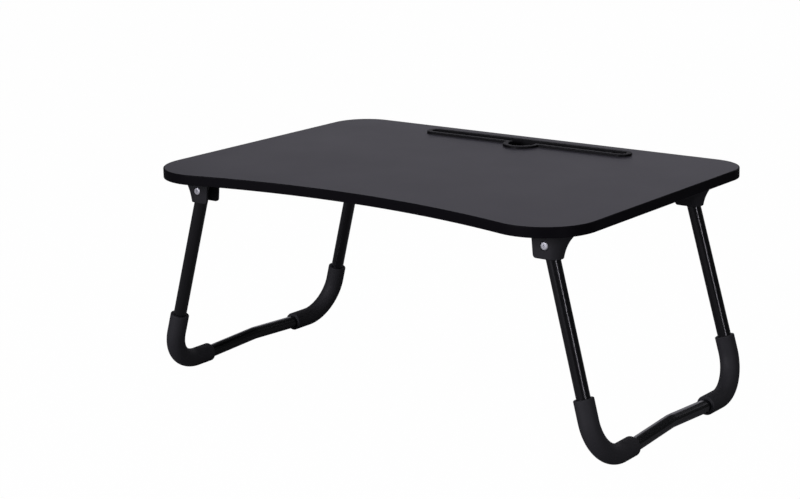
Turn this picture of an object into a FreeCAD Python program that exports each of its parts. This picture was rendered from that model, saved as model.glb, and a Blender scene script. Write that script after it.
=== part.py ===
import FreeCAD, Part
import math
import os
from FreeCAD import Rotation, Vector

# Laptop tray desk with two folding U-shaped legs. Millimetres, +Z up, floor at z = 0.
# x = 0 and y = 0 are the middle of the tray, the user sits at -Y.

# Tray panel
tray_width = 600.0
tray_depth = 421.0
tray_height = 274.5
board_thickness = 12.0
front_corner_radius = 63.5
rear_corner_radius = 48.0
front_scoop_depth = 29.6
top_laminate_thickness = 0.6
underside_laminate_thickness = 0.4
edge_band_thickness = 1.5
edge_band_rounding = 0.9

# Tablet slot strip, let into the top near the rear edge
strip_length = 304.4
strip_width = 27.0
strip_side_offset = 1.6
strip_rear_margin = 25.5
rim_height = 3.0
rim_width = 6.5
rim_rounding = 0.9
trough_wall = 2.0
trough_depth = 8.0
trough_floor = 2.0
strip_clearance = 0.1
bay_radius = 24.0
bay_side_offset = 2.4
divider_thickness = 2.5
divider_below_rim_top = 1.5
end_pocket_length = 21.0

# Legs: one bent tube each side
tube_diameter = 16.0
tube_wall = 1.2
leg_splay = 15.5
leg_toe_out = 1.27
foot_slope = 0.3
foot_run = 81.5
arch_slope = 3.0
bend_radius = 46.5
arch_bend_radius = 100.0
middle_bend_radius = 50.0
pivot_side_margin = 50.5
pivot_end_margin = 57.6
pivot_drop = 17.6
leg_middle_y = -3.9
tube_end_above_pivot = 7.5

# Foot sleeves round the lower bends, the front ones pushed further up the legs.
# The reach is the length of both arms of a sleeve, to the corner of its bend.
sleeve_diameter = 23.2
sleeve_reach = 144.5
front_sleeve_up_leg = 73.0
rear_sleeve_up_leg = 66.5
sleeve_fit = 0.05
sleeve_edge_rounding = 1.2

# Plugs in the open tube ends
plug_cap_thickness = 1.5
plug_cap_rounding = 0.75
plug_length = 16.0
plug_fit = 0.05

# Pivot screws and lock nuts
pivot_screw_diameter = 5.0
pivot_running_gap = 0.08
pivot_head_diameter = 9.4
pivot_head_height = 2.2
pivot_head_edge = 0.9
head_pocket_depth = 1.6
head_pocket_gap = 0.7
recess_length = 5.0
recess_width = 1.1
recess_depth = 1.4
nut_sides = 6
nut_corner_angle = 30.0
nut_across_flats = 8.0
nut_height = 4.8
nut_thread_gap = 0.03
thread_past_nut = 1.4

# Brackets
bracket_height = 32.3
bracket_wall = 3.0
bracket_tube_gap = 0.6
cheek_reach_top = 17.5
cheek_reach_bottom = 14.5
cheek_corner_radius = 4.0
bracket_edge_rounding = 0.8
flare_reach = 16.5
flare_hollow = 2.8
flare_sections = 7
swing_gap = 0.5
flange_thickness = 3.0
flange_inner_margin = 2.0
flange_half_depth = 21.0
flange_corner_radius = 5.0

# Countersunk screws that hold the brackets
wood_screw_diameter = 4.0
wood_screw_head_diameter = 7.6
wood_screw_head_height = 2.2
wood_screw_length = 12.0
wood_screw_point = 3.0
wood_screw_fit = 0.03
wood_screw_edge_distance = 5.0

# How far each cut runs past the surface it opens, and how near counts as the same size
cut_overrun = 5.0
close_enough = 0.01

# Places worked out from the sizes above
underside_z = tray_height - board_thickness
pivot_z = underside_z - pivot_drop
pivot_side = tray_width / 2 - pivot_side_margin
pivot_span = tray_depth - 2 * pivot_end_margin
sleeve_radius = sleeve_diameter / 2
tube_radius = tube_diameter / 2
splay = math.radians(leg_splay)
toe = math.radians(leg_toe_out)
slope = math.radians(foot_slope)
arch = math.radians(arch_slope)
bend_floor_gap = bend_radius * ((math.cos(toe) + math.sin(slope)) / math.cos(toe + slope) - 1)
leg_reach = (pivot_z - sleeve_radius) / math.cos(splay) + bend_floor_gap
foot_half_span = pivot_span / 2 + leg_reach * math.tan(toe)
arch_half_span = foot_half_span - foot_run * math.cos(slope)
cross_rise = foot_run * math.sin(slope) + arch_half_span * math.tan(arch)

strip_middle_y = tray_depth / 2 - strip_rear_margin - strip_width / 2
bay_x = strip_side_offset + bay_side_offset
bay_y = strip_middle_y - strip_width / 2
groove_half = strip_width / 2 - rim_width
groove_end_x = strip_side_offset + strip_length / 2 - rim_width
divider_x = groove_end_x - end_pocket_length - divider_thickness

channel_half = tube_radius + bracket_tube_gap
bracket_half = channel_half + bracket_wall
bracket_bottom = pivot_drop - bracket_height
round_middle = -bracket_bottom * math.tan(splay)
plug_top = tube_end_above_pivot + plug_cap_thickness
swing_radius = math.hypot(plug_top, tube_radius) + swing_gap
flange_bottom = pivot_drop - flange_thickness
flange_inner = cheek_reach_top + flange_inner_margin
flange_outer = round_middle + bracket_half + flare_reach
sides = {"left": -1, "right": 1}
ends = {"front": -1, "rear": 1}


def tray_outline(inset, z):
    """Tray outline moved inwards by inset: rounded corners and a scooped front, as a face."""
    half_width = tray_width / 2 - inset
    half_depth = tray_depth / 2 - inset
    front_r = front_corner_radius - inset
    rear_r = rear_corner_radius - inset
    corner_x = half_width - front_r
    centre_gap = (corner_x ** 2 + front_scoop_depth ** 2) / (2 * front_scoop_depth)
    scoop_r = centre_gap - front_r
    scoop_y = -half_depth + front_scoop_depth - scoop_r
    corner_y = -half_depth + front_r
    touch = Vector(corner_x, corner_y - scoop_y, 0) * (scoop_r / centre_gap)
    touch_right = Vector(touch.x, scoop_y + touch.y, z)
    touch_left = Vector(-touch.x, scoop_y + touch.y, z)
    turn = math.atan2(touch_right.y - corner_y, touch_right.x - corner_x) / 2
    corner_mid = Vector(corner_x + front_r * math.cos(turn), corner_y + front_r * math.sin(turn), z)
    rear_x = half_width - rear_r
    rear_y = half_depth - rear_r
    rear_mid = Vector(rear_x + rear_r * math.sqrt(0.5), rear_y + rear_r * math.sqrt(0.5), z)
    front_right = Vector(half_width, corner_y, z)
    rear_right = Vector(half_width, rear_y, z)
    back_right = Vector(rear_x, half_depth, z)
    edges = [
        Part.Arc(touch_left, Vector(0, scoop_y + scoop_r, z), touch_right).toShape(),
        Part.Arc(touch_right, corner_mid, front_right).toShape(),
        Part.LineSegment(front_right, rear_right).toShape(),
        Part.Arc(rear_right, rear_mid, back_right).toShape(),
        Part.LineSegment(back_right, across(back_right)).toShape(),
        Part.Arc(across(back_right), across(rear_mid), across(rear_right)).toShape(),
        Part.LineSegment(across(rear_right), across(front_right)).toShape(),
        Part.Arc(across(front_right), across(corner_mid), touch_left).toShape(),
    ]
    return Part.Face(Part.Wire(edges))


def across(point):
    """The same point on the other side of the tray's middle."""
    return Vector(-point.x, point.y, point.z)


def tray_layer(inset, bottom, top):
    return tray_outline(inset, bottom).extrude(Vector(0, 0, top - bottom))


def slot_bar(left_x, right_x, half_width, bottom, top):
    """Upright bar with half-round ends, on the middle line of the slot strip."""
    height = Vector(0, 0, top - bottom)
    left = Vector(left_x + half_width, strip_middle_y, bottom)
    right = Vector(right_x - half_width, strip_middle_y, bottom)
    side = Vector(0, half_width, 0)
    out = Vector(half_width, 0, 0)
    edges = [
        Part.LineSegment(left - side, right - side).toShape(),
        Part.Arc(right - side, right + out, right + side).toShape(),
        Part.LineSegment(right + side, left + side).toShape(),
        Part.Arc(left + side, left - out, left - side).toShape(),
    ]
    return Part.Face(Part.Wire(edges)).extrude(height)


def slot_form(inset, bottom, top):
    """Plan shape of the slot strip, moved inwards by inset: the bar and its half-round bay."""
    left_x = strip_side_offset - strip_length / 2 + inset
    right_x = strip_side_offset + strip_length / 2 - inset
    bar = slot_bar(left_x, right_x, strip_width / 2 - inset, bottom, top)
    radius = bay_radius - inset
    height = top - bottom
    bay = Part.makeCylinder(radius, height, Vector(bay_x, bay_y, bottom))
    front = Vector(bay_x - radius, bay_y - radius, bottom)
    ahead_of_middle = Part.makeBox(2 * radius, strip_middle_y - front.y, height, front)
    return bar.fuse(bay.common(ahead_of_middle)).removeSplitter()


def trough_form(gap, bottom, top):
    """The trough under the rim, grown by gap."""
    return slot_form(rim_width - trough_wall - gap, bottom, top)


def tablet_slot_strip():
    """Strip whose rim lies on the board, let into the top laminate, over a trough in the board."""
    rim_seat = tray_height - top_laminate_thickness
    rim_top = tray_height + rim_height
    groove_floor = tray_height - trough_depth + trough_floor
    groove = slot_form(rim_width, groove_floor, rim_top + cut_overrun)
    rim = slot_form(0, rim_seat, rim_top).cut(groove)
    rim = rim.makeFillet(rim_rounding, edges_at(rim, rim_top))
    trough = trough_form(0, tray_height - trough_depth, rim_seat).cut(groove)
    divider = Part.makeBox(
        divider_thickness,
        2 * (groove_half + trough_wall),
        rim_top - divider_below_rim_top - groove_floor,
        Vector(divider_x, strip_middle_y - groove_half - trough_wall, groove_floor),
    )
    return rim.fuse(trough).fuse(divider).removeSplitter()


def edges_at(shape, z):
    """Edges that lie wholly at one height."""
    return [
        edge for edge in shape.Edges
        if all(abs(point.z - z) < close_enough for point in edge_points(edge))
    ]


def edge_points(edge):
    middle = edge.valueAt((edge.FirstParameter + edge.LastParameter) / 2)
    return [edge.valueAt(edge.FirstParameter), middle, edge.valueAt(edge.LastParameter)]


def tabletop_core():
    top = tray_height - top_laminate_thickness
    core = tray_layer(edge_band_thickness, underside_z + underside_laminate_thickness, top)
    recess = trough_form(strip_clearance, tray_height - trough_depth, top + cut_overrun)
    return core.cut(recess).cut(screw_holes())


def top_laminate():
    bottom = tray_height - top_laminate_thickness
    sheet = tray_layer(edge_band_thickness, bottom, tray_height)
    return sheet.cut(slot_form(-strip_clearance, bottom - cut_overrun, tray_height + cut_overrun))


def underside_laminate():
    sheet = tray_layer(edge_band_thickness, underside_z, underside_z + underside_laminate_thickness)
    return sheet.cut(screw_holes())


def edge_band():
    outside = tray_layer(0, underside_z, tray_height)
    rims = edges_at(outside, underside_z) + edges_at(outside, tray_height)
    outside = outside.makeFillet(edge_band_rounding, rims)
    inside = tray_layer(edge_band_thickness, underside_z - cut_overrun, tray_height + cut_overrun)
    return outside.cut(inside)


def rod_along(points, radii, rod_radius):
    """Round rod through the points, each inner corner turned on its bend radius."""
    edges = []
    start = points[0]
    for before, corner, after, radius in zip(points, points[1:], points[2:], radii):
        back = (before - corner).normalize()
        onward = (after - corner).normalize()
        half_angle = back.getAngle(onward) / 2
        middle = (back + onward).normalize()
        centre = corner + middle * (radius / math.sin(half_angle))
        arc_start = corner + back * (radius / math.tan(half_angle))
        arc_end = corner + onward * (radius / math.tan(half_angle))
        edges.append(Part.LineSegment(start, arc_start).toShape())
        edges.append(Part.Arc(arc_start, centre - middle * radius, arc_end).toShape())
        start = arc_end
    edges.append(Part.LineSegment(start, points[-1]).toShape())
    profile = Part.Wire(Part.makeCircle(rod_radius, points[0], points[1] - points[0]))
    return Part.Wire(edges).makePipeShell([profile], True, False)


def leg_point(end, down):
    """Point on an upright's centre line, in the upright leg's own plane with its pivots at z = 0."""
    return Vector(0, end * (pivot_span / 2 + down * math.tan(toe)), -down)


def floor_point(end, distance):
    """Point on the cross tube's centre line, this far from the corner."""
    corner = leg_point(end, leg_reach)
    return corner + Vector(0, -end * math.cos(slope), math.sin(slope)) * distance


def place_leg(shape, side):
    """Splay an upright leg and bring it to its pivots."""
    shape.rotate(Vector(0, 0, 0), Vector(0, 1, 0), -side * leg_splay)
    shape.translate(Vector(side * pivot_side, leg_middle_y, pivot_z))
    return shape


def leg_rod(radius, past_end):
    top = -tube_end_above_pivot - past_end
    front = [leg_point(-1, top), leg_point(-1, leg_reach), floor_point(-1, foot_run)]
    middle = Vector(0, 0, -leg_reach + cross_rise)
    rear = [floor_point(1, foot_run), leg_point(1, leg_reach), leg_point(1, top)]
    bends = [bend_radius, arch_bend_radius, middle_bend_radius, arch_bend_radius, bend_radius]
    return rod_along(front + [middle] + rear, bends, radius)


def pivot_bore():
    """Bore through both uprights for the pivot screws."""
    length = pivot_span + 2 * (tube_diameter + cut_overrun)
    radius = pivot_screw_diameter / 2 + pivot_running_gap
    return Part.makeCylinder(radius, length, Vector(0, -length / 2, 0), Vector(0, 1, 0))


def leg_tube(side):
    tube = leg_rod(tube_radius, 0).cut(leg_rod(tube_radius - tube_wall, cut_overrun))
    return place_leg(tube.cut(pivot_bore()), side)


def foot_sleeve(side, end):
    up_leg = front_sleeve_up_leg if end < 0 else rear_sleeve_up_leg
    points = [
        leg_point(end, leg_reach - up_leg),
        leg_point(end, leg_reach),
        floor_point(end, sleeve_reach - up_leg),
    ]
    sleeve = rod_along(points, [bend_radius], sleeve_radius)
    faces = [face for face in sleeve.Faces if isinstance(face.Surface, Part.Plane)]
    rims = [edge for face in faces for edge in face.Edges]
    sleeve = sleeve.makeFillet(sleeve_edge_rounding, rims)
    return place_leg(sleeve.cut(leg_rod(tube_radius + sleeve_fit, 0)), side)


def tube_end_plug(side, end):
    top = leg_point(end, -plug_top)
    seat = leg_point(end, -tube_end_above_pivot)
    down = leg_point(end, 0) - top
    cap = Part.makeCylinder(tube_radius, (seat - top).Length, top, down)
    rim = [edge for edge in cap.Edges if (edge.CenterOfMass - top).Length < close_enough]
    cap = cap.makeFillet(plug_cap_rounding, rim)
    body = Part.makeCylinder(tube_radius - tube_wall - plug_fit, plug_length, seat, down)
    return place_leg(cap.fuse(body).cut(pivot_bore()), side)


def pivot_screw(end):
    """Pan-head screw across a bracket, head sunk in the outer cheek; its axis is the pivot, along Y."""
    radius = pivot_screw_diameter / 2
    length = 2 * bracket_half - head_pocket_depth + nut_height + thread_past_nut
    shank = Part.makeCylinder(radius, length, Vector(0, 0, 0), Vector(0, 0, -1))
    head = Part.makeCylinder(pivot_head_diameter / 2, pivot_head_height)
    head = head.makeFillet(pivot_head_edge, edges_at(head, pivot_head_height))
    corner = Vector(-recess_length / 2, -recess_width / 2, pivot_head_height - recess_depth)
    slot = Part.makeBox(recess_length, recess_width, recess_depth, corner)
    cross = slot.copy()
    cross.rotate(Vector(0, 0, 0), Vector(0, 0, 1), 90)
    screw = shank.fuse(head.cut(slot.fuse(cross)))
    screw.rotate(Vector(0, 0, 0), Vector(1, 0, 0), -90 * end)
    screw.translate(Vector(0, end * (bracket_half - head_pocket_depth), 0))
    return screw


def lock_nut(end):
    """Hexagon nut on the inner cheek, its outer corners turned down."""
    corner = nut_across_flats / 2 / math.cos(math.pi / nut_sides)
    hexagon = [Vector(corner, 0, 0)]
    for _ in range(nut_sides):
        hexagon.append(Rotation(Vector(0, 0, 1), 360 / nut_sides).multVec(hexagon[-1]))
    nut = Part.Face(Part.makePolygon(hexagon)).extrude(Vector(0, 0, nut_height))
    nut = nut.common(turned_blank(corner))
    bore = Part.makeCylinder(pivot_screw_diameter / 2 + nut_thread_gap, nut_height)
    nut = nut.cut(bore)
    nut.rotate(Vector(0, 0, 0), Vector(1, 0, 0), 90 * end)
    nut.translate(Vector(0, -end * bracket_half, 0))
    return nut


def turned_blank(corner):
    """Round blank of the nut, its far edge turned down at the corner angle."""
    drop = (corner - nut_across_flats / 2) * math.tan(math.radians(nut_corner_angle))
    points = [
        Vector(0, 0, 0),
        Vector(corner, 0, 0),
        Vector(corner, 0, nut_height - drop),
        Vector(nut_across_flats / 2, 0, nut_height),
        Vector(0, 0, nut_height),
        Vector(0, 0, 0),
    ]
    return Part.Face(Part.makePolygon(points)).revolve(Vector(0, 0, 0), Vector(0, 0, 1), 360)


def cheek_block():
    """Both cheeks as one block: slightly drafted inner end, rounded lower corner and outer edges."""
    y = -bracket_half
    draft = (cheek_reach_top - cheek_reach_bottom) / bracket_height
    corner_x = -cheek_reach_bottom - draft * cheek_corner_radius
    arc_shift = cheek_corner_radius * (1 - math.sqrt(0.5))
    low_outer = Vector(round_middle, y, bracket_bottom)
    high_outer = Vector(round_middle, y, pivot_drop)
    high_inner = Vector(-cheek_reach_top, y, pivot_drop)
    corner_start = Vector(corner_x, y, bracket_bottom + cheek_corner_radius)
    corner_middle = Vector(corner_x + arc_shift, y, bracket_bottom + arc_shift)
    corner_end = Vector(corner_x + cheek_corner_radius, y, bracket_bottom)
    edges = [
        Part.LineSegment(low_outer, high_outer).toShape(),
        Part.LineSegment(high_outer, high_inner).toShape(),
        Part.LineSegment(high_inner, corner_start).toShape(),
        Part.Arc(corner_start, corner_middle, corner_end).toShape(),
        Part.LineSegment(corner_end, low_outer).toShape(),
    ]
    block = Part.Face(Part.Wire(edges)).extrude(Vector(0, 2 * bracket_half, 0))
    rims = [edge for edge in block.Edges if on_cheek_rim(edge_points(edge))]
    return block.makeFillet(bracket_edge_rounding, rims)


def on_cheek_rim(points):
    """Whether an edge runs along the inner end or the bottom of a cheek's outer face."""
    beside = all(abs(abs(point.y) - bracket_half) < close_enough for point in points)
    middle = points[1]
    return beside and abs(points[0].y - points[2].y) < close_enough and (
        middle.x < round_middle - close_enough and middle.z < pivot_drop - close_enough
    )


def flared_end():
    """Round outer end, as wide as the cheeks, drawn out further and further towards the flange."""
    low = Vector(bracket_half, 0, bracket_bottom)
    high = Vector(bracket_half + flare_reach, 0, flange_bottom)
    climb = high - low
    hollow = Vector(-climb.z, 0, climb.x).normalize() * flare_hollow
    outline = Part.Arc(low, low + climb / 2 + hollow, high).toShape()
    points = outline.discretize(flare_sections)
    flare = Part.makeLoft([half_round(point.x, point.z) for point in points], True)
    rims = [edge for edge in edges_at(flare, bracket_bottom) if not isinstance(edge.Curve, Part.Line)]
    flare = flare.makeFillet(bracket_edge_rounding, rims)
    flare.translate(Vector(round_middle, 0, 0))
    return flare


def half_round(reach, z):
    """Level half-ellipse as wide as the bracket, reaching this far out, closed by a straight line."""
    ellipse = Part.Ellipse(Vector(reach, 0, z), Vector(0, bracket_half, z), Vector(0, 0, z))
    curve = Part.ArcOfEllipse(ellipse, -math.pi / 2, math.pi / 2).toShape()
    closing = Part.LineSegment(curve.lastVertex().Point, curve.firstVertex().Point)
    return Part.Wire([curve, closing.toShape()])


def flange_plate():
    length = flange_inner + flange_outer
    corner = Vector(-flange_inner, -flange_half_depth, flange_bottom)
    plate = Part.makeBox(length, 2 * flange_half_depth, flange_thickness, corner)
    uprights = [edge for edge in plate.Edges if abs(edge.Length - flange_thickness) < close_enough]
    return plate.makeFillet(flange_corner_radius, uprights)


def tube_channel():
    """Room inside the bracket for the tube, open below and inwards, and for its end as it swings."""
    low = bracket_bottom - cut_overrun
    height = swing_radius - low
    start = Vector(-flange_inner - cut_overrun, -channel_half, low)
    straight = Part.makeBox(round_middle - start.x, 2 * channel_half, height, start)
    rounded = Part.makeCylinder(channel_half, height, Vector(round_middle, 0, low))
    barrel = Part.makeCylinder(swing_radius, 2 * channel_half, Vector(0, -channel_half, 0), Vector(0, 1, 0))
    below = Part.makeBox(
        2 * swing_radius,
        2 * channel_half,
        swing_radius,
        Vector(-swing_radius, -channel_half, -channel_half - swing_radius),
    )
    return straight.fuse(rounded).fuse(barrel.cut(below))


def screw_places():
    """The four screw places of a bracket flange, from the pivot, on the flange's lower face."""
    inner = wood_screw_edge_distance - flange_inner
    outer = flange_outer - wood_screw_edge_distance
    aside = flange_half_depth - wood_screw_edge_distance
    return [Vector(x, y, flange_bottom) for x in (inner, outer) for y in (-aside, aside)]


def wood_screw(place, gap):
    """Countersunk screw pointing up from its place, grown by gap."""
    head_r = wood_screw_head_diameter / 2 + gap
    shank_r = wood_screw_diameter / 2 + gap
    shank_top = wood_screw_length - wood_screw_point
    points = [
        Vector(0, 0, 0),
        Vector(head_r, 0, 0),
        Vector(shank_r, 0, wood_screw_head_height),
        Vector(shank_r, 0, shank_top),
        Vector(0, 0, wood_screw_length + gap),
        Vector(0, 0, 0),
    ]
    screw = Part.Face(Part.makePolygon(points)).revolve(Vector(0, 0, 0), Vector(0, 0, 1), 360)
    screw.translate(place)
    return screw


def at_corner(shape, side, end):
    """Bring a shape made round a right-hand pivot to one of the four corners."""
    if side < 0:
        shape = shape.mirror(Vector(0, 0, 0), Vector(1, 0, 0))
    shape.translate(Vector(side * pivot_side, leg_middle_y + end * pivot_span / 2, pivot_z))
    return shape


def bracket(side, end):
    body = cheek_block().fuse(flared_end()).fuse(flange_plate()).removeSplitter()
    body = body.cut(tube_channel())
    hole = Part.makeCylinder(
        pivot_screw_diameter / 2 + nut_thread_gap,
        2 * (bracket_half + cut_overrun),
        Vector(0, -bracket_half - cut_overrun, 0),
        Vector(0, 1, 0),
    )
    body = body.cut(hole).cut(head_pocket(end))
    for place in screw_places():
        body = body.cut(wood_screw(place, wood_screw_fit))
    return at_corner(body, side, end)


def head_pocket(end):
    """Round pocket in the outer cheek that takes the pivot screw's head."""
    return Part.makeCylinder(
        pivot_head_diameter / 2 + head_pocket_gap,
        head_pocket_depth + cut_overrun,
        Vector(0, end * (bracket_half - head_pocket_depth), 0),
        Vector(0, end, 0),
    )


def all_screws(gap):
    screws = []
    for side in sides.values():
        for end in ends.values():
            screws += [at_corner(wood_screw(place, gap), side, end) for place in screw_places()]
    return screws


def screw_holes():
    return Part.makeCompound(all_screws(wood_screw_fit))


def write(name, shape):
    """Save one node after making sure that it is sound."""
    if not shape.isValid():
        raise ValueError(name + " is not a valid solid")
    shape.exportStep("parts/" + name + ".step")


def main():
    os.makedirs("parts", exist_ok=True)
    write("tabletop_core", tabletop_core())
    write("top_laminate", top_laminate())
    write("underside_laminate", underside_laminate())
    write("edge_band", edge_band())
    write("tablet_slot_strip", tablet_slot_strip())
    write("bracket_screws", Part.makeCompound(all_screws(0)))
    for side_name, side in sides.items():
        write(side_name + "_leg_tube", leg_tube(side))
        for end_name, end in ends.items():
            corner = side_name + "_" + end_name
            write(corner + "_bracket", bracket(side, end))
            write(corner + "_pivot_screw", at_corner(pivot_screw(end), side, end))
            write(corner + "_lock_nut", at_corner(lock_nut(end), side, end))
            write(corner + "_foot_sleeve", foot_sleeve(side, end))
            write(corner + "_tube_end_plug", tube_end_plug(side, end))


main()
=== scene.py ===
import math

import bmesh
import bpy
from bpy.props import FloatProperty, FloatVectorProperty, IntProperty, PointerProperty
from mathutils import Matrix, Vector


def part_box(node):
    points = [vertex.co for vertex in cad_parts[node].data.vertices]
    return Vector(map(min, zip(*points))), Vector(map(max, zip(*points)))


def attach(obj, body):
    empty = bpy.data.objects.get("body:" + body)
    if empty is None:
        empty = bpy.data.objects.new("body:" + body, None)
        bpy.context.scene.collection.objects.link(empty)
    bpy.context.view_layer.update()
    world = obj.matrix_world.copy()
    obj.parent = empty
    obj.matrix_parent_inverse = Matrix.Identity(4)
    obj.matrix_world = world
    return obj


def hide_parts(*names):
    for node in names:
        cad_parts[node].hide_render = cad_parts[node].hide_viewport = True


# Finishes, fixings and studio for a low tray desk with two folding legs. Metres, +Z up, floor at z = 0.
# The board, strip, brackets, tubes and sleeves are the construction model's own. The small steel
# fixings are modelled again here with their recesses, threads and collars.

bl_info = {
    "name": "Tray desk looks",
    "version": (1, 0, 0),
    "blender": (4, 5, 0),
    "location": "View3D > Sidebar > Tray desk",
    "description": "Finishes, fixings and studio of a tray desk with folding legs",
    "category": "Object",
}

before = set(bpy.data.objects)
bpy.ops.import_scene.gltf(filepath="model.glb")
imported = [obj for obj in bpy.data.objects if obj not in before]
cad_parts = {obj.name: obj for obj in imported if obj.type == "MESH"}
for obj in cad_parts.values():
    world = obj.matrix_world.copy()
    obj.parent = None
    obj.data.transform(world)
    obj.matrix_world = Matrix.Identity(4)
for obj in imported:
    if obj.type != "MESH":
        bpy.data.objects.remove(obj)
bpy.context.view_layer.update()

MM = 0.001
CORNERS = [side + "_" + end for side in ("left", "right") for end in ("front", "rear")]

# Where a thread's root and its crest lie, as shares of one turn.
ROOT_AT = 0.25
CREST_AT = 0.75

# A face looks along an axis when its normal has more than this much of it.
ALONG_AXIS = 0.9

# Numbers of a Mix node's sockets where it mixes colours.
MIX_FACTOR, MIX_DARK, MIX_LIGHT, MIX_RESULT = 0, 6, 7, 2

# Middle of each light panel, then its width and height, in metres. The front is at -Y, the right at +X.
# Every panel is turned to the middle of the desk.
PANELS = {
    "overhead_panel": ((0.3, 0.3, 2.4), (2.0, 2.0)),
    "back_panel": ((-0.8, 3.4, 1.0), (5.3, 1.6)),
    "left_panel": ((-0.8, -3.2, 1.2), (1.6, 1.2)),
    "near_panel": ((1.5, -1.3, 1.2), (0.9, 0.9)),
    "right_strip": ((2.05, -0.85, 0.55), (0.09, 1.1)),
}
DESK_MIDDLE = Vector((0, 0, 0.15))

# The camera's sensor in millimetres, and how far it sees in metres.
SENSOR_WIDTH = 36.0
CAMERA_REACH = 100.0


def linear(hex_colour):
    """An sRGB hex colour as linear red, green and blue."""
    channels = [int(hex_colour[i:i + 2], 16) / 255 for i in (1, 3, 5)]
    return tuple(c / 12.92 if c <= 0.04045 else ((c + 0.055) / 1.055) ** 2.4 for c in channels)


def length(name, description, millimetres):
    """A length that a user can change, given here in millimetres."""
    return FloatProperty(
        name=name, description=description, default=millimetres * MM,
        min=0.0, precision=4, unit="LENGTH", subtype="DISTANCE",
    )


def colour(name, description, hex_colour):
    """A colour that a user can change, given here as sRGB hex."""
    return FloatVectorProperty(
        name=name, description=description, default=linear(hex_colour),
        min=0.0, max=1.0, size=3, subtype="COLOR",
    )


def angle(name, description, degrees):
    """An angle that a user can change, given here in degrees."""
    return FloatProperty(
        name=name, description=description, default=math.radians(degrees),
        unit="ROTATION", subtype="ANGLE",
    )


def share(name, description, part):
    """A share from 0 to 1 that a user can change."""
    return FloatProperty(
        name=name, description=description, default=part, min=0.0, max=1.0, subtype="FACTOR",
    )


def watts(name, description, power):
    """A lamp's power that a user can change, given in watts."""
    return FloatProperty(name=name, description=description, default=power, min=0.0, unit="POWER")


class TrayDeskColours(bpy.types.PropertyGroup):
    """Colours of the desk's surfaces."""

    top_sheet: colour("Top sheet", "Laminate on top of the board", "#38373C")
    edge_strip: colour("Edge band", "Band glued round the board's edge", "#0C0B0E")
    underside: colour("Underside", "Sheet on the bottom of the board", "#171718")
    fibreboard: colour("Fibreboard", "Bare board inside the laminates", "#8A6D4B")
    strip: colour("Tablet strip", "Moulded strip in the board", "#0A0A0C")
    bracket: colour("Brackets", "Moulded brackets and tube plugs", "#1F1F21")
    leg_paint: colour("Leg paint", "Powder coat on the tubes", "#050507")
    sleeve: colour("Foot sleeves", "Soft sleeves round the lower bends", "#28282A")
    bright_zinc: colour("Bright zinc", "Plating of the pivot screws", "#D9DADD")
    dull_zinc: colour("Dull zinc", "Plating of the lock nuts", "#A9ABAE")
    black_screw: colour("Wood screws", "Blackened screws in the bracket flanges", "#2C2C2E")
    nylon: colour("Nut insert", "Locking ring in each nut", "#C7CED6")


class TrayDeskFixings(bpy.types.PropertyGroup):
    """Sizes of the screws and nuts."""

    head_height: length("Pivot head height", "Height of the pan head", 2.2)
    head_rounding: length("Pivot head rounding", "Round of the pan head's rim", 1.2)
    pivot_shank: length("Pivot shank", "Diameter of the pivot screw", 5.0)
    pivot_pitch: length("Pivot thread pitch", "Distance between thread crests", 0.8)
    thread_depth: length("Thread depth", "How deep the thread is cut", 0.35)
    thread_length: length("Thread length", "Threaded end of the pivot screw", 11.0)
    recess_reach: length("Recess reach", "Width of the cross recess from tip to tip", 5.0)
    recess_wing: length("Recess wing", "Thickness of each wing of the cross", 1.15)
    recess_depth: length("Recess depth", "Depth of the cross recess", 1.4)
    recess_taper: share("Recess taper", "Width at the recess's bottom, set against its opening", 0.4)
    nut_hexagon: length("Nut hexagon height", "Height of the hexagon below the collar", 3.4)
    nut_flats: length("Nut across flats", "Width of the hexagon across its flats", 8.0)
    nut_face: length("Nut face", "Diameter of the flat round face at each end of the hexagon", 7.6)
    nut_collar: length("Nut collar", "Diameter of the round collar", 7.2)
    nut_collar_rounding: length("Nut collar rounding", "Round of the collar's top edge", 0.4)
    nut_insert: length("Nut insert", "Diameter of the locking ring", 6.2)
    nut_insert_base: length("Nut insert base", "Height of the ring's seat in the nut", 3.2)
    nut_insert_drop: length("Nut insert drop", "From the collar's top down to the ring", 0.35)
    nut_bore_gap: length("Nut bore gap", "From the pivot screw's thread to the nut's bore", 0.035)
    wood_head: length("Wood screw head", "Diameter of the countersunk head", 7.6)
    wood_head_height: length("Wood screw head height", "Depth of the countersunk head", 2.2)
    wood_rim: length("Wood screw rim", "Chamfer round the face of the countersunk head", 0.22)
    wood_shank: length("Wood screw shank", "Diameter over the thread", 4.0)
    wood_length: length("Wood screw length", "Length over all", 12.0)
    wood_point: length("Wood screw point", "Length of the tapered point", 3.0)
    wood_tip: length("Wood screw tip", "Radius of the point's blunt end", 0.07)
    wood_pitch: length("Wood screw pitch", "Distance between thread crests", 1.6)
    wood_turn: angle("Wood screw turn", "From the cross of one screw to that of the next", 37)
    wood_edge_distance: length("Screw edge distance", "From the flange's edge to a screw's middle", 5.0)
    flange: length("Flange thickness", "Thickness of the bracket flange", 3.0)
    segments: IntProperty(
        name="Segments", description="Sides of a turned form", default=48, min=12, max=128,
    )


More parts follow.
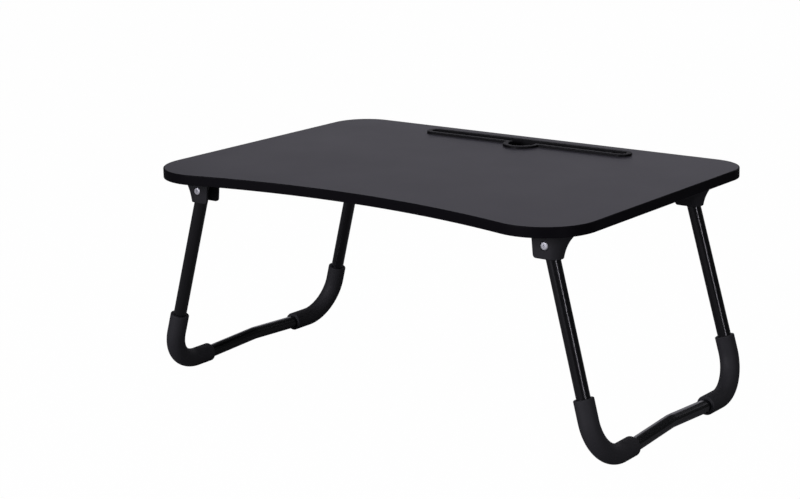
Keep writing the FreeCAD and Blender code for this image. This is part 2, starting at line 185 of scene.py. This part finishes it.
class TrayDeskStudio(bpy.types.PropertyGroup):
    """Camera and lights."""

    azimuth: angle("Camera azimuth", "From straight in front, towards the right", 37.39)
    elevation: angle("Camera elevation", "Above the floor", 14.02)
    roll: angle("Camera roll", "Turn about the line of sight", -0.95)
    distance: length("Camera distance", "From the point it looks at", 2435.8)
    target: FloatVectorProperty(
        name="Camera target", description="Point that the camera looks at",
        default=(-99.86 * MM, 37.91 * MM, 150.0 * MM), size=3, unit="LENGTH", subtype="TRANSLATION",
    )
    lens: FloatProperty(
        name="Lens", description="Focal length on a 36 mm wide sensor", default=87.2, unit="CAMERA",
    )
    floor_size: length("Floor size", "Side of the square floor", 60000.0)
    floor_white: share("Floor white", "How much of the floor shows as plain white", 0.99)
    floor_paper: share("Floor paper", "Brightness of the paper that shows beside the white", 0.8)
    floor_bounce: share("Floor bounce", "Brightness of the floor as it lights the desk", 0.42)
    floor_mirrored: share("Floor in the shine", "Brightness of the floor in the desk's shine", 0.28)
    room_glow: FloatProperty(
        name="Room glow", description="Brightness of the grey room", default=0.05, min=0.0,
    )
    room_tint: colour("Room tint", "Colour of the grey room", "#F9FCFF")
    panel_tint: colour("Panel tint", "Colour of the light from every panel", "#F6F3FF")
    overhead_panel: watts("Overhead panel", "Power of the square panel over the desk", 13)
    back_panel: watts("Back panel", "Power of the long panel behind, which gives the tray its sheen", 14)
    left_panel: watts("Left panel", "Power of the panel in front, to the left", 78)
    near_panel: watts("Near panel", "Power of the small panel near the right front corner", 6.5)
    right_strip: watts("Right strip", "Power of the narrow strip that draws streaks on the tubes", 5.6)


# Selection, modifiers and copies

def clear_selection():
    if bpy.context.mode != "OBJECT":
        bpy.ops.object.mode_set(mode="OBJECT")
    bpy.ops.object.select_all(action="DESELECT")


def activate(piece):
    clear_selection()
    piece.select_set(True)
    bpy.context.view_layer.objects.active = piece


def apply_modifier(piece, kind, **settings):
    activate(piece)
    modifier = piece.modifiers.new(kind.title(), kind)
    for name, value in settings.items():
        setattr(modifier, name, value)
    bpy.ops.object.modifier_apply(modifier=modifier.name)


def combine(piece, tool, operation):
    """Join, cut or intersect the piece with a tool, which is then gone."""
    apply_modifier(piece, "BOOLEAN", object=tool, operation=operation, solver="EXACT")
    bpy.data.objects.remove(tool)


def place_copy(form, name, place):
    """A copy of a form with a mesh of its own, its place put into the mesh."""
    piece = bpy.data.objects.new(name, form.data.copy())
    bpy.context.scene.collection.objects.link(piece)
    piece.matrix_world = place
    activate(piece)
    bpy.ops.object.transform_apply(location=True, rotation=True, scale=True)
    return piece


def join_pieces(pieces, name):
    clear_selection()
    for piece in pieces:
        piece.select_set(True)
    bpy.context.view_layer.objects.active = pieces[0]
    bpy.ops.object.join()
    pieces[0].name = name
    return pieces[0]


def turned_form(name, profile, segments):
    """Closed form turned on Z. The profile lists radius and height from the first end to the last."""
    clear_selection()
    radius, height = profile[0]
    bpy.ops.mesh.primitive_circle_add(
        vertices=segments, radius=radius, fill_type="NGON", location=(0, 0, height),
    )
    form = bpy.context.object
    form.name = name
    bpy.ops.object.transform_apply(location=True, rotation=True, scale=True)
    bpy.ops.object.mode_set(mode="EDIT")
    bpy.ops.mesh.select_all(action="SELECT")
    for next_radius, next_height in profile[1:]:
        bpy.ops.mesh.extrude_region_move(TRANSFORM_OT_translate={"value": (0, 0, next_height - height)})
        growth = next_radius / radius
        bpy.ops.transform.resize(value=(growth, growth, 1), center_override=(0, 0, next_height))
        radius, height = next_radius, next_height
    bpy.ops.mesh.select_all(action="SELECT")
    bpy.ops.mesh.normals_make_consistent(inside=False)
    bpy.ops.object.mode_set(mode="OBJECT")
    return form


def thread_profile(radius, depth, pitch, start, end):
    """Crests and roots of a thread, drawn as closed rings, between two heights."""
    turns = max(1, round(abs(end - start) / pitch))
    step = (end - start) / turns
    profile = []
    for turn in range(turns):
        profile.append((radius - depth, start + step * (turn + ROOT_AT)))
        profile.append((radius, start + step * (turn + CREST_AT)))
    return profile


def cross_recess(sizes, opening, inwards):
    """Cross cutter with its opening at a height, narrowing inwards: 1 for upwards, -1 for downwards."""
    bottom = opening + inwards * sizes.recess_depth
    taper = sizes.recess_taper
    wings = []
    for turn in (0, math.pi / 2):
        clear_selection()
        bpy.ops.mesh.primitive_cube_add(size=1, location=(0, 0, opening))
        wing = bpy.context.object
        wing.scale = (sizes.recess_reach, sizes.recess_wing, 2 * sizes.recess_depth)
        wing.rotation_euler = (0, 0, turn)
        bpy.ops.object.transform_apply(location=True, rotation=True, scale=True)
        select_faces(wing, lambda face: face.normal.z * inwards > ALONG_AXIS)
        bpy.ops.transform.resize(value=(taper, taper, 1), center_override=(0, 0, bottom))
        bpy.ops.object.mode_set(mode="OBJECT")
        wings.append(wing)
    combine(wings[0], wings[1], "UNION")
    return wings[0]


def bore_out(piece, radius, start, end, segments):
    """Cut a round bore on Z between two heights."""
    combine(piece, turned_form("bore", [(radius, start), (radius, end)], segments), "DIFFERENCE")


def select_faces(piece, wanted):
    """Go into edit mode with just the wanted faces selected."""
    activate(piece)
    bpy.ops.object.mode_set(mode="EDIT")
    bpy.ops.mesh.select_mode(type="FACE")
    bpy.ops.mesh.select_all(action="DESELECT")
    shape = bmesh.from_edit_mesh(piece.data)
    for face in shape.faces:
        face.select_set(wanted(face))
    bmesh.update_edit_mesh(piece.data)


def smooth_sides(piece, degrees=32):
    activate(piece)
    bpy.ops.object.shade_smooth_by_angle(angle=math.radians(degrees))


def round_over(radius, rounding, base, top, steps=5):
    """Profile points of a rim rounded over from its side to its flat top."""
    turns = [math.pi / 2 * step / steps for step in range(steps + 1)]
    low = top - rounding
    points = [(radius, base)]
    points += [
        (radius - rounding * (1 - math.cos(turn)), low + rounding * math.sin(turn)) for turn in turns
    ]
    return points


# Materials

def add_node(material, kind, settings=None, links=None):
    """Add a node, set its options and inputs by name, and link its inputs to other nodes' outputs."""
    node = material.node_tree.nodes.new(kind)
    for name, value in (settings or {}).items():
        if isinstance(name, str) and name in node.bl_rna.properties:
            setattr(node, name, value)
        else:
            node.inputs[name].default_value = value
    for name, source in (links or {}).items():
        material.node_tree.links.new(source, node.inputs[name])
    return node


def start_material(name, sockets):
    """A material with one shader and its output, and the object coordinates that its patterns read."""
    material = bpy.data.materials.new(name)
    material.use_nodes = True
    material.node_tree.nodes.clear()
    shader = add_node(material, "ShaderNodeBsdfPrincipled", sockets)
    add_node(material, "ShaderNodeOutputMaterial", links={"Surface": shader.outputs["BSDF"]})
    place = add_node(material, "ShaderNodeTexCoord").outputs["Object"]
    return material, shader, place


def grain_size(millimetres):
    """Scale of a pattern on object coordinates whose features are this large."""
    return 1 / (millimetres * MM)


def shade(base, factor):
    return tuple(channel * factor for channel in base)


def wear_in(material, shader, pattern, base, shades, roughness):
    """Let a pattern vary the shader's roughness, and its colour between two shades of the base."""
    dark, light = ((*shade(base, factor), 1) for factor in shades)
    low, high = roughness
    tint = add_node(
        material, "ShaderNodeMix",
        {"data_type": "RGBA", MIX_DARK: dark, MIX_LIGHT: light}, {MIX_FACTOR: pattern},
    )
    gloss = add_node(
        material, "ShaderNodeMapRange", {"To Min": low, "To Max": high}, {"Value": pattern},
    )
    link = material.node_tree.links.new
    link(tint.outputs[MIX_RESULT], shader.inputs["Base Color"])
    link(gloss.outputs["Result"], shader.inputs["Roughness"])


def emboss(material, shader, pattern, strength, depth, layers=("Normal",)):
    """Let a pattern raise the shader's layers by a depth in millimetres."""
    bump = add_node(
        material, "ShaderNodeBump", {"Strength": strength, "Distance": depth * MM}, {"Height": pattern},
    )
    for layer in layers:
        material.node_tree.links.new(bump.outputs["Normal"], shader.inputs[layer])


def laminate(colours):
    """Melamine laminate, pressed on a satin plate: an even dark grey with a faint dry mottle."""
    material, shader, place = start_material(
        "melamine_laminate_satin", {"IOR": 1.5, "Specular IOR Level": 0.3},
    )
    cloud = add_node(
        material, "ShaderNodeTexNoise", {"Scale": grain_size(90), "Detail": 3.0}, {"Vector": place},
    ).outputs["Fac"]
    # The press plate's grain is about 0.3 mm, drawn here at 1.4 mm so that it shows.
    grain = add_node(
        material, "ShaderNodeTexNoise", {"Scale": grain_size(1.4), "Detail": 2.0}, {"Vector": place},
    ).outputs["Fac"]
    wear_in(material, shader, cloud, colours.top_sheet, shades=(0.93, 1.07), roughness=(0.4, 0.46))
    emboss(material, shader, grain, strength=0.25, depth=0.03)
    return material


def edge_band(colours):
    """Extruded ABS edge band: near black, faint lines along its run from the die."""
    material, shader, place = start_material(
        "abs_edge_band_extruded", {"IOR": 1.5, "Specular IOR Level": 0.04},
    )
    # The die's lines are about 0.2 mm apart, drawn here at 1.5 mm so that they show.
    along = add_node(
        material, "ShaderNodeMapping",
        {"Scale": (grain_size(400), grain_size(400), grain_size(1.5))}, {"Vector": place},
    ).outputs["Vector"]
    lines = add_node(
        material, "ShaderNodeTexNoise", {"Scale": 1.0, "Detail": 1.0}, {"Vector": along},
    ).outputs["Fac"]
    wear_in(material, shader, lines, colours.edge_strip, shades=(0.85, 1.15), roughness=(0.36, 0.48))
    emboss(material, shader, lines, strength=0.2, depth=0.02)
    return material


def underside_sheet(colours):
    """Resin-soaked paper on the underside: flat black with a papery mottle."""
    material, shader, place = start_material(
        "balancing_paper_black", {"IOR": 1.5, "Specular IOR Level": 0.25},
    )
    paper = add_node(
        material, "ShaderNodeTexNoise", {"Scale": grain_size(6), "Detail": 6.0, "Roughness": 0.7},
        {"Vector": place},
    ).outputs["Fac"]
    wear_in(material, shader, paper, colours.underside, shades=(0.8, 1.2), roughness=(0.6, 0.8))
    emboss(material, shader, paper, strength=0.3, depth=0.03)
    return material


def fibreboard(colours):
    """Medium density fibreboard, sawn and drilled: brown felted fibres."""
    material, shader, place = start_material(
        "fibreboard_sawn", {"IOR": 1.45, "Specular IOR Level": 0.3},
    )
    # The fibres are about 0.1 mm thick, drawn here as tufts of 1.2 mm so that they show.
    fibres = add_node(
        material, "ShaderNodeTexNoise", {"Scale": grain_size(1.2), "Detail": 8.0, "Roughness": 0.75},
        {"Vector": place},
    ).outputs["Fac"]
    wear_in(material, shader, fibres, colours.fibreboard, shades=(0.7, 1.15), roughness=(0.8, 0.95))
    emboss(material, shader, fibres, strength=0.6, depth=0.1)
    return material


def moulded_plastic(name, base, sheen, roughness):
    """Injection-moulded ABS: black, with the fine pitting of a spark-eroded mould."""
    material, shader, place = start_material(name, {"IOR": 1.52, "Specular IOR Level": sheen})
    # The pitting is about 0.2 mm across, drawn here at 0.9 mm so that it shows.
    pits = add_node(
        material, "ShaderNodeTexNoise", {"Scale": grain_size(0.9), "Detail": 3.0, "Roughness": 0.6},
        {"Vector": place},
    ).outputs["Fac"]
    wear_in(material, shader, pits, base, shades=(0.85, 1.15), roughness=roughness)
    emboss(material, shader, pits, strength=0.35, depth=0.05)
    return material


def powder_coat(colours):
    """Gloss powder coat on steel tube: deep black, sharp streaks broken by a slight orange peel."""
    material, shader, place = start_material("powder_coat_gloss_black", {
        "IOR": 1.5, "Specular IOR Level": 0.35, "Coat Weight": 0.5, "Coat Roughness": 0.06,
    })
    peel = add_node(
        material, "ShaderNodeTexNoise", {"Scale": grain_size(3.5), "Detail": 1.0}, {"Vector": place},
    ).outputs["Fac"]
    wear_in(material, shader, peel, colours.leg_paint, shades=(0.9, 1.1), roughness=(0.2, 0.28))
    emboss(material, shader, peel, strength=0.2, depth=0.04, layers=("Normal", "Coat Normal"))
    return material


def sleeve_rubber(colours):
    """Foamed rubber tube with a closed skin: soft black-grey, dry, no sharp shine."""
    material, shader, place = start_material(
        "foam_rubber_closed_skin", {"IOR": 1.5, "Specular IOR Level": 0.2},
    )
    # The pores are about 0.3 mm, drawn here at 1 mm so that they show.
    pores = add_node(
        material, "ShaderNodeTexNoise", {"Scale": grain_size(1.0), "Detail": 4.0, "Roughness": 0.65},
        {"Vector": place},
    ).outputs["Fac"]
    wear_in(material, shader, pores, colours.sleeve, shades=(0.85, 1.15), roughness=(0.55, 0.72))
    emboss(material, shader, pores, strength=0.4, depth=0.08)
    return material


def plated_steel(name, base, roughness, spread=0.1):
    """Zinc-plated or blackened steel: satin metal with the fine, even mottle of the bath."""
    material, shader, place = start_material(name, {"Metallic": 1.0})
    # The mottle is about 0.1 mm across, drawn here at 0.6 mm so that it shows.
    mottle = add_node(
        material, "ShaderNodeTexNoise", {"Scale": grain_size(0.6), "Detail": 2.0}, {"Vector": place},
    ).outputs["Fac"]
    satin = (roughness, roughness + spread)
    wear_in(material, shader, mottle, base, shades=(0.88, 1.0), roughness=satin)
    return material


def nylon_ring(colours):
    """Nylon locking ring: milky plastic, smooth from the mould."""
    material, shader, place = start_material("nylon_moulded", {"IOR": 1.53})
    milk = add_node(
        material, "ShaderNodeTexNoise", {"Scale": grain_size(2.0), "Detail": 2.0}, {"Vector": place},
    ).outputs["Fac"]
    wear_in(material, shader, milk, colours.nylon, shades=(0.9, 1.0), roughness=(0.35, 0.45))
    return material


def give_material(piece, material):
    if not piece.material_slots:
        piece.data.materials.append(material)
    for slot in piece.material_slots:
        slot.material = material


def finish_nodes(names, material):
    for name in names:
        give_material(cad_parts[name], material)


# Operators

class TRAYDESK_OT_board(bpy.types.Operator):
    """Give the board, its laminates and its edge band their finishes"""

    bl_idname = "traydesk.board"
    bl_label = "Board"

    def execute(self, context):
        colours = context.scene.tray_desk_colours
        finish_nodes(["top_laminate"], laminate(colours))
        finish_nodes(["edge_band"], edge_band(colours))
        finish_nodes(["underside_laminate"], underside_sheet(colours))
        finish_nodes(["tabletop_core"], fibreboard(colours))
        return {"FINISHED"}


class TRAYDESK_OT_mouldings(bpy.types.Operator):
    """Give the tablet strip, the brackets and the tube plugs their moulded plastic"""

    bl_idname = "traydesk.mouldings"
    bl_label = "Mouldings"

    def execute(self, context):
        colours = context.scene.tray_desk_colours
        strip = moulded_plastic(
            "abs_strip_spark_texture", colours.strip, sheen=0.12, roughness=(0.42, 0.5),
        )
        finish_nodes(["tablet_slot_strip"], strip)
        bracket = moulded_plastic(
            "abs_bracket_spark_texture", colours.bracket, sheen=0.2, roughness=(0.5, 0.62),
        )
        for kind in ("_bracket", "_tube_end_plug"):
            finish_nodes([corner + kind for corner in CORNERS], bracket)
        return {"FINISHED"}


class TRAYDESK_OT_legs(bpy.types.Operator):
    """Paint the leg tubes and finish their foot sleeves"""

    bl_idname = "traydesk.legs"
    bl_label = "Legs"

    def execute(self, context):
        colours = context.scene.tray_desk_colours
        finish_nodes(["left_leg_tube", "right_leg_tube"], powder_coat(colours))
        finish_nodes([corner + "_foot_sleeve" for corner in CORNERS], sleeve_rubber(colours))
        return {"FINISHED"}


class TRAYDESK_OT_pivot_screws(bpy.types.Operator):
    """Model the pan-head pivot screws with their cross recess and threaded end"""

    bl_idname = "traydesk.pivot_screws"
    bl_label = "Pivot screws"

    def execute(self, context):
        sizes = context.scene.tray_desk_fixings
        colours = context.scene.tray_desk_colours
        material = plated_steel("bright_zinc_on_steel", colours.bright_zinc, roughness=0.42)
        form = pivot_screw_form(sizes, *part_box(CORNERS[0] + "_pivot_screw"))
        for corner in CORNERS:
            node = corner + "_pivot_screw"
            low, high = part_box(node)
            outwards = -1 if corner.endswith("front") else 1
            seat_y = (low.y if outwards < 0 else high.y) - outwards * sizes.head_height
            piece = place_copy(form, node + "_turned", across_bracket(low, high, seat_y, outwards))
            smooth_sides(piece)
            give_material(piece, material)
            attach(piece, "tabletop")
            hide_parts(node)
        bpy.data.objects.remove(form)
        return {"FINISHED"}


def across_bracket(low, high, seat_y, facing):
    """Place of a fixing that stands on Z: laid along Y, its top to the rear (1) or the front (-1)."""
    middle = Vector(((low.x + high.x) / 2, seat_y, (low.z + high.z) / 2))
    return Matrix.Translation(middle) @ Matrix.Rotation(-facing * math.pi / 2, 4, "X")


def pivot_screw_form(sizes, low, high):
    """Pan-head screw on Z, the underside of its head at z = 0."""
    head_radius = (high.x - low.x) / 2
    tip = sizes.head_height - (high.y - low.y)
    shank = sizes.pivot_shank / 2
    thread_start = tip + sizes.thread_length
    profile = [(shank - sizes.thread_depth, tip)]
    profile += thread_profile(shank, sizes.thread_depth, sizes.pivot_pitch, tip, thread_start)
    profile += [(shank, thread_start), (shank, 0)]
    profile += round_over(head_radius, sizes.head_rounding, 0, sizes.head_height)
    form = turned_form("pivot_screw_form", profile, sizes.segments)
    combine(form, cross_recess(sizes, sizes.head_height, -1), "DIFFERENCE")
    return form


class TRAYDESK_OT_lock_nuts(bpy.types.Operator):
    """Model the lock nuts with their collar and nylon ring"""

    bl_idname = "traydesk.lock_nuts"
    bl_label = "Lock nuts"

    def execute(self, context):
        sizes = context.scene.tray_desk_fixings
        colours = context.scene.tray_desk_colours
        steel = plated_steel("dull_zinc_on_steel", colours.dull_zinc, roughness=0.3)
        nylon = nylon_ring(colours)
        low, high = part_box(CORNERS[0] + "_lock_nut")
        nut_form, ring_form = lock_nut_forms(sizes, high.y - low.y)
        for corner in CORNERS:
            node = corner + "_lock_nut"
            low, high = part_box(node)
            inwards = 1 if corner.endswith("front") else -1
            seat_y = low.y if inwards > 0 else high.y
            place = across_bracket(low, high, seat_y, inwards)
            nut = place_copy(nut_form, node + "_turned", place)
            ring = place_copy(ring_form, node + "_ring", place)
            smooth_sides(nut)
            smooth_sides(ring)
            give_material(nut, steel)
            give_material(ring, nylon)
            for piece in (nut, ring):
                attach(piece, "tabletop")
            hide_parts(node)
        for form in (nut_form, ring_form):
            bpy.data.objects.remove(form)
        return {"FINISHED"}


def lock_nut_forms(sizes, height):
    """Hexagon nut with a round collar, and the ring inside the collar, both on Z."""
    half_side = math.pi / 6
    corner_radius = sizes.nut_flats / 2 / math.cos(half_side)
    face_radius = sizes.nut_face / 2
    # The chamfered blank runs past the hexagon's corners and its ends.
    past = corner_radius - face_radius
    chamfer = past * math.tan(half_side)
    inner, outer = face_radius - past, corner_radius + past
    clear_selection()
    bpy.ops.mesh.primitive_cylinder_add(
        vertices=6, radius=corner_radius, depth=sizes.nut_hexagon,
        location=(0, 0, sizes.nut_hexagon / 2), rotation=(0, 0, half_side),
    )
    nut = bpy.context.object
    bpy.ops.object.transform_apply(location=True, rotation=True, scale=True)
    blank = turned_form("nut_blank", [
        (inner, -chamfer), (outer, 2 * chamfer),
        (outer, sizes.nut_hexagon - 2 * chamfer), (inner, sizes.nut_hexagon + chamfer),
    ], sizes.segments)
    # Half a side's turn keeps the blank's edges off the corners of the hexagon.
    blank.rotation_euler.z = math.pi / sizes.segments
    combine(nut, blank, "INTERSECT")
    collar_radius = sizes.nut_collar / 2
    collar_base = sizes.nut_hexagon / 2
    collar_profile = round_over(collar_radius, sizes.nut_collar_rounding, collar_base, height)
    combine(nut, turned_form("nut_collar", collar_profile, sizes.segments), "UNION")
    ring_radius = sizes.nut_insert / 2
    ring_base = sizes.nut_insert_base
    ring_top = height - sizes.nut_insert_drop
    ring = turned_form("nut_ring", [(ring_radius, ring_base), (ring_radius, ring_top)], sizes.segments)
    # The cutters run a nut's height past its ends.
    below, above = -height, 2 * height
    bore = sizes.pivot_shank / 2 + sizes.nut_bore_gap
    bore_out(nut, ring_radius, ring_base, above, sizes.segments)
    bore_out(nut, bore, below, above, sizes.segments)
    bore_out(ring, bore, below, above, sizes.segments)
    return nut, ring


class TRAYDESK_OT_wood_screws(bpy.types.Operator):
    """Model the countersunk screws that hold the brackets, with their cross recess"""

    bl_idname = "traydesk.wood_screws"
    bl_label = "Wood screws"

    def execute(self, context):
        sizes = context.scene.tray_desk_fixings
        colours = context.scene.tray_desk_colours
        form = wood_screw_form(sizes)
        edge = sizes.wood_edge_distance
        copies = []
        for corner in CORNERS:
            low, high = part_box(corner + "_bracket")
            seat_z = high.z - sizes.flange
            for x in (low.x + edge, high.x - edge):
                for y in (low.y + edge, high.y - edge):
                    turn = Matrix.Rotation(sizes.wood_turn * len(copies), 4, "Z")
                    place = Matrix.Translation((x, y, seat_z)) @ turn
                    copies.append(place_copy(form, "wood_screw", place))
        bpy.data.objects.remove(form)
        piece = join_pieces(copies, "bracket_screws_turned")
        smooth_sides(piece)
        give_material(piece, plated_steel("blackened_steel", colours.black_screw, roughness=0.35))
        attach(piece, "tabletop")
        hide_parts("bracket_screws")
        return {"FINISHED"}


def wood_screw_form(sizes):
    """Countersunk screw on Z pointing up, its flat head at z = 0. It is small, so it has half the sides."""
    head = sizes.wood_head / 2
    shank = sizes.wood_shank / 2
    rim = sizes.wood_rim
    body_end = sizes.wood_length - sizes.wood_point
    profile = [(head - rim, 0), (head - rim / 2, rim / 2), (shank, sizes.wood_head_height)]
    profile += thread_profile(
        shank, sizes.thread_depth, sizes.wood_pitch, sizes.wood_head_height, body_end,
    )
    profile += [(shank - sizes.thread_depth, body_end), (sizes.wood_tip, sizes.wood_length)]
    form = turned_form("wood_screw_form", profile, sizes.segments // 2)
    combine(form, cross_recess(sizes, 0, 1), "DIFFERENCE")
    return form


class TRAYDESK_OT_studio(bpy.types.Operator):
    """Set up the pale floor, the soft lights and the camera"""

    bl_idname = "traydesk.studio"
    bl_label = "Studio"

    def execute(self, context):
        settings = context.scene.tray_desk_studio
        add_floor(settings)
        add_surroundings(context.scene, settings)
        add_lights(settings)
        add_camera(context.scene, settings)
        return {"FINISHED"}


def grey(brightness):
    return brightness, brightness, brightness, 1


def add_floor(settings):
    """The floor shows as white paper. It lights the desk more weakly, and is weaker still in its shine."""
    clear_selection()
    bpy.ops.mesh.primitive_plane_add(size=settings.floor_size)
    floor = bpy.context.object
    floor.name = "studio_floor"
    material = bpy.data.materials.new("studio_floor_paper")
    material.use_nodes = True
    material.node_tree.nodes.clear()
    paper, bounce, mirrored = (
        add_node(material, "ShaderNodeBsdfDiffuse", {"Color": grey(brightness)}).outputs[0]
        for brightness in (settings.floor_paper, settings.floor_bounce, settings.floor_mirrored)
    )
    white = add_node(material, "ShaderNodeEmission", {"Color": grey(1)}).outputs[0]
    shown = add_node(
        material, "ShaderNodeMixShader", {0: settings.floor_white}, {1: paper, 2: white},
    ).outputs[0]
    path = add_node(material, "ShaderNodeLightPath").outputs
    unseen = add_node(
        material, "ShaderNodeMixShader", links={0: path["Is Glossy Ray"], 1: bounce, 2: mirrored},
    ).outputs[0]
    mixed = add_node(
        material, "ShaderNodeMixShader", links={0: path["Is Camera Ray"], 1: unseen, 2: shown},
    ).outputs[0]
    add_node(material, "ShaderNodeOutputMaterial", links={"Surface": mixed})
    give_material(floor, material)


def add_surroundings(scene, settings):
    """White to the camera, a soft grey room to the surfaces that mirror it."""
    world = bpy.data.worlds.new("studio_room")
    scene.world = world
    world.use_nodes = True
    world.node_tree.nodes.clear()
    room = add_node(
        world, "ShaderNodeBackground", {"Color": (*settings.room_tint, 1), "Strength": settings.room_glow},
    ).outputs[0]
    white = add_node(world, "ShaderNodeBackground", {"Color": grey(1)}).outputs[0]
    path = add_node(world, "ShaderNodeLightPath").outputs
    mixed = add_node(
        world, "ShaderNodeMixShader", links={0: path["Is Camera Ray"], 1: room, 2: white},
    ).outputs[0]
    add_node(world, "ShaderNodeOutputWorld", links={"Surface": mixed})


def add_lights(settings):
    """Soft panels round the desk, each with the power that the settings give under its name."""
    for name, (place, size) in PANELS.items():
        add_panel(name, Vector(place), size, getattr(settings, name), settings.panel_tint)


def add_panel(name, place, size, power, tint):
    clear_selection()
    bpy.ops.object.light_add(type="AREA", location=place)
    lamp = bpy.context.object
    lamp.name = name
    lamp.data.shape = "RECTANGLE"
    lamp.data.size, lamp.data.size_y = size
    lamp.data.energy = power
    lamp.data.color = tint
    lamp.rotation_euler = (DESK_MIDDLE - place).to_track_quat("-Z", "Y").to_euler()


def add_camera(scene, settings):
    """Camera at the photograph's angle, with colours shown as they are."""
    flat = math.cos(settings.elevation)
    towards = Vector((
        math.sin(settings.azimuth) * flat, -math.cos(settings.azimuth) * flat, math.sin(settings.elevation),
    ))
    place = Vector(settings.target) + towards * settings.distance
    clear_selection()
    bpy.ops.object.camera_add(location=place)
    camera = bpy.context.object
    camera.name = "studio_camera"
    turn = (-towards).to_track_quat("-Z", "Y").to_matrix() @ Matrix.Rotation(settings.roll, 3, "Z")
    camera.rotation_euler = turn.to_euler()
    camera.data.sensor_width = SENSOR_WIDTH
    camera.data.lens = settings.lens
    camera.data.clip_end = CAMERA_REACH
    scene.camera = camera
    scene.view_settings.view_transform = "Standard"
    scene.view_settings.look = "None"


class TRAYDESK_PT_panel(bpy.types.Panel):
    """Sidebar panel with the desk's pieces, sizes and colours"""

    bl_idname = "TRAYDESK_PT_panel"
    bl_label = "Tray desk"
    bl_space_type = "VIEW_3D"
    bl_region_type = "UI"
    bl_category = "Tray desk"

    def draw(self, context):
        for operator in OPERATORS:
            self.layout.operator(operator.bl_idname)
        for settings in (
            context.scene.tray_desk_colours,
            context.scene.tray_desk_fixings,
            context.scene.tray_desk_studio,
        ):
            column = self.layout.column(align=True)
            for name in settings.bl_rna.properties.keys():
                if name not in {"rna_type", "name"}:
                    column.prop(settings, name)


OPERATORS = (
    TRAYDESK_OT_board,
    TRAYDESK_OT_mouldings,
    TRAYDESK_OT_legs,
    TRAYDESK_OT_pivot_screws,
    TRAYDESK_OT_lock_nuts,
    TRAYDESK_OT_wood_screws,
    TRAYDESK_OT_studio,
)
SETTINGS = {
    "tray_desk_colours": TrayDeskColours,
    "tray_desk_fixings": TrayDeskFixings,
    "tray_desk_studio": TrayDeskStudio,
}


def register():
    for group in SETTINGS.values():
        bpy.utils.register_class(group)
    for name, group in SETTINGS.items():
        setattr(bpy.types.Scene, name, PointerProperty(type=group))
    for operator in OPERATORS:
        bpy.utils.register_class(operator)
    bpy.utils.register_class(TRAYDESK_PT_panel)


def unregister():
    bpy.utils.unregister_class(TRAYDESK_PT_panel)
    for operator in reversed(OPERATORS):
        bpy.utils.unregister_class(operator)
    for name in SETTINGS:
        delattr(bpy.types.Scene, name)
    for group in reversed(SETTINGS.values()):
        bpy.utils.unregister_class(group)


def main():
    register()
    bpy.ops.traydesk.board()
    bpy.ops.traydesk.mouldings()
    bpy.ops.traydesk.legs()
    bpy.ops.traydesk.pivot_screws()
    bpy.ops.traydesk.lock_nuts()
    bpy.ops.traydesk.wood_screws()
    bpy.ops.traydesk.studio()
    clear_selection()


if __name__ == "__main__":
    main()
